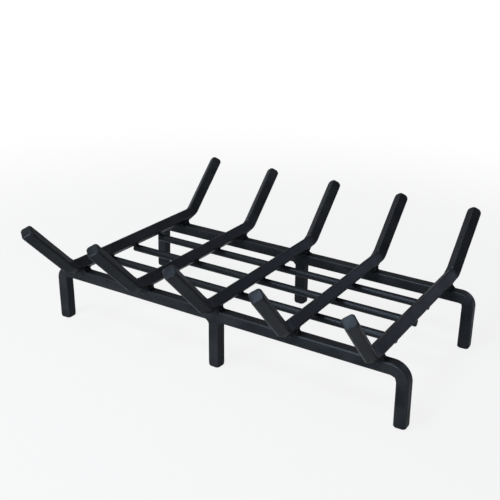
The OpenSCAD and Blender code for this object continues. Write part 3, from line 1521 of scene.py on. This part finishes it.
@dataclass(frozen=True)
class WeldFill:
    """How one kind of joint is filled.

    Attributes:
        fillet: radius of the hollow between the two pieces.
        outer_fillet: the same on the outer side of a rail.
        low: corner of the space that holds the weld, from its place: least in X and Z, and inward in Y.
        high: its other corner.
        ripple: height of the ripples.
        unevenness: share by which the fillet wanders.
    """

    fillet: float
    outer_fillet: float
    low: Triple
    high: Triple
    ripple: float = 0.0003
    unevenness: float = 0.25

    def values(self, place: Triple, voxel: float) -> dict[str, object]:
        """What a weld tree takes for a joint.

        Args:
            place: the joint's place.
            voxel: side of the cells that the weld is meshed from.

        Returns:
            Input name to its value.
        """
        low, high = self.low, self.high
        if place[1] < 0:
            low, high = (low[0], -high[1], low[2]), (high[0], -low[1], high[2])
        return {
            "Place": place,
            "Low": low,
            "High": high,
            "Fillet": self.fillet,
            "Outer Fillet": self.outer_fillet,
            "Ripple Height": self.ripple,
            "Unevenness": self.unevenness,
            **{"Voxels " + axis: round((b - a) / voxel) for axis, a, b in zip("XYZ", low, high)},
        }


@dataclass(frozen=True)
class Spatter:
    """Where the droplets that the welding threw lie.

    Attributes:
        seed: of the random draws.
        count: how many lie at each joint.
        along: how far from a log bar's middle they lie on a rail.
        across: how far off the middle line of a rail or leg at most.
        under: how far below the rail they lie on a leg.
        front: right of the middle and below the rail, the one on the front leg's front.
        sink: how far their middles lie in the steel.
    """

    seed: int = 11
    count: int = 3
    along: tuple[float, float] = (0.010, 0.020)
    across: float = 0.005
    under: tuple[float, float] = (0.009, 0.020)
    front: tuple[float, float] = (0.0062, 0.011)
    sink: float = 0.0001

    def spots(self, places: Sequence[float], rail_y: float, top: float, under: float) -> list[Triple]:
        """Draws the droplets' places.

        Args:
            places: where the log bars lie along the rails.
            rail_y: from the middle of the grate to a rail's middle.
            top: height of the rails' tops.
            under: height of their undersides.

        Returns:
            The places.
        """
        rng = np.random.default_rng(self.seed)
        face = BAR_SIZE / 2 - self.sink
        found = [(self.front[0], -rail_y - face, under - self.front[1])]
        for x in places:
            for y in (-rail_y, rail_y):
                for _ in range(self.count):
                    away = rng.uniform(*self.along) * rng.choice([-1, 1])
                    found.append((x + away, y + rng.uniform(-self.across, self.across), top - self.sink))
        for y in (-rail_y, rail_y):
            for _ in range(self.count):
                flank = rng.choice([-1, 1]) * face
                aside = rng.uniform(-self.across, self.across)
                found.append((flank, y + aside, under - rng.uniform(*self.under)))
        return found


@dataclass
class Welds:
    """All the welds of the grate.

    Attributes:
        rails: the rails.
        log_bars: the log bars, whose places the welds follow.
        rods: the ember rods.
        voxel: side of the cells that the welds are meshed from.
        rail_fill: where a log bar crosses a rail.
        rod_fill: where a log bar crosses a rod.
        leg_fill: where a middle leg meets its rail.
        spatter: the droplets beside them.
    """

    rails: Rails
    log_bars: LogBars
    rods: EmberRods
    voxel: float = 0.00035
    rail_fill: WeldFill = WeldFill(0.0085, 0.0135, (-0.015, -0.014, -0.017), (0.015, 0.026, 0.013))
    rod_fill: WeldFill = WeldFill(
        0.0036, 0.0036, (-0.009, -0.008, -0.007), (0.009, 0.008, 0.007), ripple=0.0002
    )
    leg_fill: WeldFill = WeldFill(
        0.0075, 0.0075, (-0.019, -0.0105, -0.010), (0.019, 0.0105, 0.011), unevenness=0.15
    )
    spatter: Spatter = Spatter()

    def _fill(
        self,
        word: str,
        places: Sequence[Triple],
        fill: WeldFill,
        tree: bpy.types.NodeTree,
        finish: bpy.types.Material,
    ) -> None:
        """Fills several joints of one kind as one piece, and keeps it.

        Args:
            word: start of the names of the piece and of its CAD node.
            places: the joints' places.
            fill: how they are filled.
            tree: the weld tree of their kind.
            finish: their material.
        """
        name = word + "_beads"
        whole = bmesh.new()
        for number, place in enumerate(places):
            part_name = f"{name}_{number}"
            values = {**fill.values(place, self.voxel), "Finish": finish}
            part = through_tree(part_name, spots_mesh(part_name + "_spot", [place]), tree, values)
            whole.from_mesh(part.data)
            bpy.data.objects.remove(part)
        mesh = bpy.data.meshes.new(name)
        whole.to_mesh(mesh)
        whole.free()
        mesh.materials.append(finish)
        mesh.polygons.foreach_set("use_smooth", [True] * len(mesh.polygons))
        keep(placed(name, mesh), Slot.WELD, word + "_welds")

    def build(self, drop_tree: bpy.types.NodeTree, finish: bpy.types.Material) -> None:
        """Builds every weld, and the droplets that the welding threw.

        Args:
            drop_tree: the droplets' tree.
            finish: the welds' material.
        """
        places = self.log_bars.places()
        rail_y, top, under = self.rails.spacing / 2, self.rails.top, self.rails.under
        trees = {joint: weld_tree(joint, self.rails, self.log_bars, self.rods) for joint in Joint}
        for number, x in enumerate(places, 1):
            spots = [(x, y, top) for y in (-rail_y, rail_y)]
            self._fill(f"log_bar_{number}", spots, self.rail_fill, trees[Joint.BAR_ON_RAIL], finish)
        for sign, word in ((-1, "front_rod"), (0, "middle_rod"), (1, "rear_rod")):
            spots = [(x, sign * self.rods.spacing, top) for x in places]
            self._fill(word, spots, self.rod_fill, trees[Joint.BAR_ON_ROD], finish)
        for sign, word in ((-1, "front_leg"), (1, "rear_leg")):
            spots = [(0.0, sign * rail_y, under)]
            self._fill(word, spots, self.leg_fill, trees[Joint.LEG_UNDER_RAIL], finish)
        spots = self.spatter.spots(places, rail_y, top, under)
        mesh = spots_mesh("droplet_spots", spots)
        keep(through_tree("weld_droplets", mesh, drop_tree, {"Finish": finish}), Slot.WELD)


# --------------------------------------------------------------------------
# Studio
# --------------------------------------------------------------------------


@dataclass(frozen=True)
class SoftLamp:
    """A square soft light.

    Attributes:
        name: its name.
        place: where it hangs.
        size: its side.
        glow: how bright its face is, where white paper in full light is 1.
        tint: its colour.
        target: height of the place over the origin that it looks at.
    """

    name: str
    place: Triple
    size: float
    glow: float
    tint: Triple = (1.0, 1.0, 1.0)
    target: float = 0.1

    def hang(self) -> None:
        """Hangs the lamp, looking at the grate."""
        data = bpy.data.lights.new(self.name, "AREA")
        data.shape, data.size, data.color = "SQUARE", self.size, self.tint
        data.energy = self.glow * math.pi * self.size**2
        lamp = bpy.data.objects.new(self.name, data)
        lamp.location = self.place
        lamp.rotation_mode = "QUATERNION"
        away = Vector(self.place) - Vector((0, 0, self.target))
        lamp.rotation_quaternion = away.to_track_quat("Z", "Y")
        bpy.context.scene.collection.objects.link(lamp)


@dataclass
class Studio:
    """Pale floor, soft lights and the camera.

    Attributes:
        eye: the camera's place.
        azimuth: the way it stands from the grate, 0 in front and 90 to the right, in degrees.
        elevation: how far it looks down, in degrees.
        roll: how far it leans, in degrees.
        lens: focal length in millimetres.
        lamps: the soft lights.
        sensor: width of the sensor in millimetres.
        clip: the nearest and the furthest that the camera sees.
        floor_reach: how far the floor runs each way.
        floor_tone: how pale it is.
        floor_rough: its roughness.
        floor_specular: level of its plain reflection.
        shadow_reach: how far out the floor keeps its full shading.
        white_from: how far out it is plain white.
        near_white: share of plain white under the grate.
        gloss_share: share of that white that shows in gloss.
        white_to: height up to which the room has its horizon tone, as the sine of the elevation.
        grey_from: height from which it has its overhead tone.
        horizon: the tone at the horizon.
        overhead: the tone overhead.
        dim_way: the way in which the room is dimmer.
        dim_span: how nearly a way has to point there to be a little or fully dim, as a cosine.
        dim_tone: the tone there.
    """

    eye: Triple
    azimuth: float
    elevation: float
    roll: float
    lens: float
    lamps: Sequence[SoftLamp]
    sensor: float = 36.0
    clip: tuple[float, float] = (0.05, 60.0)
    floor_reach: float = 16.0
    floor_tone: float = 0.65
    floor_rough: float = 0.9
    floor_specular: float = 0.1
    shadow_reach: float = 0.5
    white_from: float = 1.5
    near_white: float = 0.85
    gloss_share: float = 0.15
    white_to: float = 0.0
    grey_from: float = 0.5
    horizon: Triple = (0.28, 0.29, 0.33)
    overhead: Triple = (0.14, 0.15, 0.175)
    dim_way: Triple = (-0.53, 0.848, 0.0)
    dim_span: tuple[float, float] = (0.4, 0.9)
    dim_tone: Triple = (0.06, 0.065, 0.075)

    def build(self) -> None:
        """Builds the camera, floor, lights and world."""
        self._camera()
        self._floor()
        self._world()
        for lamp in self.lamps:
            lamp.hang()

    def _camera(self) -> None:
        """Stands the camera where the grate is seen from."""
        a, e, t = (math.radians(v) for v in (self.azimuth, self.elevation, self.roll))
        back = Vector((math.sin(a) * math.cos(e), -math.cos(a) * math.cos(e), math.sin(e)))
        right = Vector((math.cos(a), math.sin(a), 0.0))
        up = Vector((-math.sin(a) * math.sin(e), math.cos(a) * math.sin(e), math.cos(e)))
        turned = right * math.cos(t) + up * math.sin(t), -right * math.sin(t) + up * math.cos(t)
        data = bpy.data.cameras.new("camera")
        data.sensor_width, data.lens = self.sensor, self.lens
        data.clip_start, data.clip_end = self.clip
        camera = bpy.data.objects.new("camera", data)
        camera.matrix_world = Matrix((turned[0], turned[1], back)).transposed().to_4x4()
        camera.location = self.eye
        bpy.context.scene.collection.objects.link(camera)
        bpy.context.scene.camera = camera

    def _seen(self, maker: TreeMaker) -> Field:
        """How much of the plain white a ray sees: all from the camera, and a share in gloss.

        Args:
            maker: the maker of the floor's or the world's tree.

        Returns:
            The share.
        """
        rays = maker.node("ShaderNodeLightPath")
        names = ("Is Camera Ray", "Is Glossy Ray", "Is Transmission Ray")
        camera, glossy, through = (Field(maker, rays.outputs[name]) for name in names)
        return camera.most((glossy * self.gloss_share).most(through))

    def _floor(self) -> None:
        """Lays a wide pale floor: lit and shadowed near the grate, plain white further off."""
        r = self.floor_reach
        mesh = bpy.data.meshes.new("floor")
        mesh.from_pydata([(-r, -r, 0), (r, -r, 0), (r, r, 0), (-r, r, 0)], [], [(0, 1, 2, 3)])
        floor = placed("floor", mesh)
        made, maker = blank_material("pale_floor")
        away = maker.vector("LENGTH", maker.field("ShaderNodeTexCoord", out="Object"))
        fade = maker.range(away, self.shadow_reach, self.white_from, self.near_white, 1.0)
        paint = {
            "Base Color": (self.floor_tone, self.floor_tone, self.floor_tone, 1.0),
            "Roughness": self.floor_rough,
            "Specular IOR Level": self.floor_specular,
        }
        lit = maker.field("ShaderNodeBsdfPrincipled", paint)
        glow = maker.field("ShaderNodeEmission", {"Color": (1.0, 1.0, 1.0, 1.0), "Strength": 1.0})
        both = maker.field("ShaderNodeMixShader", {0: self._seen(maker) * fade, 1: lit, 2: glow})
        maker.node("ShaderNodeOutputMaterial", {"Surface": both})
        mesh.materials.append(made)

    def _world(self) -> None:
        """Surrounds the stage with a grey room, darker overhead, that looks white."""
        world = bpy.data.worlds.new("room")
        world.use_nodes = True
        bpy.context.scene.world = world
        world.node_tree.nodes.clear()
        maker = TreeMaker(world.node_tree)
        way = maker.field("ShaderNodeTexCoord", out="Generated")
        fade = maker.range(maker.parts(way)[2], self.white_to, self.grey_from)
        room = maker.mix(fade, (*self.horizon, 1.0), (*self.overhead, 1.0))
        dim = maker.range(maker.vector("DOT_PRODUCT", way, self.dim_way), *self.dim_span)
        room = maker.mix(dim, room, (*self.dim_tone, 1.0))
        colour = maker.mix(self._seen(maker), room, (1.0, 1.0, 1.0, 1.0))
        light = maker.field("ShaderNodeBackground", {"Color": colour, "Strength": 1.0})
        maker.node("ShaderNodeOutputWorld", {"Surface": light})


BAR_COAT = CoatFinish(
    "bar_black_coat",
    dark=(0.0064, 0.0067, 0.0075),
    light=(0.0190, 0.0196, 0.0212),
    wear_and_highlight_tone=(0.023, 0.024, 0.026),
)
ROD_COAT = CoatFinish(
    "rod_black_coat",
    dark=(0.006, 0.0064, 0.0072),
    light=(0.014, 0.0148, 0.0165),
    wear_and_highlight_tone=(0.020, 0.021, 0.023),
    rough_low=0.3,
    rough_high=0.42,
    shift=3.0,
)
WELD_COAT = CoatFinish(
    "weld_black_coat",
    dark=(0.0062, 0.0065, 0.0073),
    light=(0.0182, 0.0188, 0.0203),
    wear_and_highlight_tone=(0.021, 0.022, 0.024),
    rough_low=0.32,
    rough_high=0.5,
)
LAMPS = (
    SoftLamp("key_light", (-0.40, -1.0, 1.6), 0.6, 12.5, (0.85, 0.93, 1.0)),
    SoftLamp("fill_light", (-0.15, -2.5, 0.65), 1.25, 10.1, (0.93, 0.97, 1.0)),
    SoftLamp("back_light", (1.0, 2.2, 0.9), 0.9, 0.85, (0.60, 0.68, 1.0)),
    SoftLamp("side_light", (-2.4, 0.1, 0.6), 1.2, 3.0),
)
STUDIO = Studio(
    eye=(0.5832847, -1.0329910, 0.6076794),
    azimuth=30.510350,
    elevation=21.582538,
    roll=1.806317,
    lens=59.4847,
    lamps=LAMPS,
)


def main() -> None:
    """Builds the grate piece by piece, then the studio round it."""
    logging.basicConfig(level=logging.INFO, format="%(name)s: %(message)s")
    bar_finish, rod_finish, weld_finish = BAR_COAT.material(), ROD_COAT.material(), WELD_COAT.material()
    sweep = sweep_tree()
    rails = Rails()
    log_bars, rods = LogBars(rails), EmberRods(rails)
    rails.build(sweep, bar_finish)
    MiddleLegs(rails).build(sweep, bar_finish)
    log_bars.build(sweep, bar_finish)
    rods.build(sweep, rod_finish)
    Welds(rails, log_bars, rods).build(spatter_tree(), weld_finish)
    STUDIO.build()
    bpy.context.scene.view_settings.view_transform = "Standard"


if __name__ == "__main__":
    main()
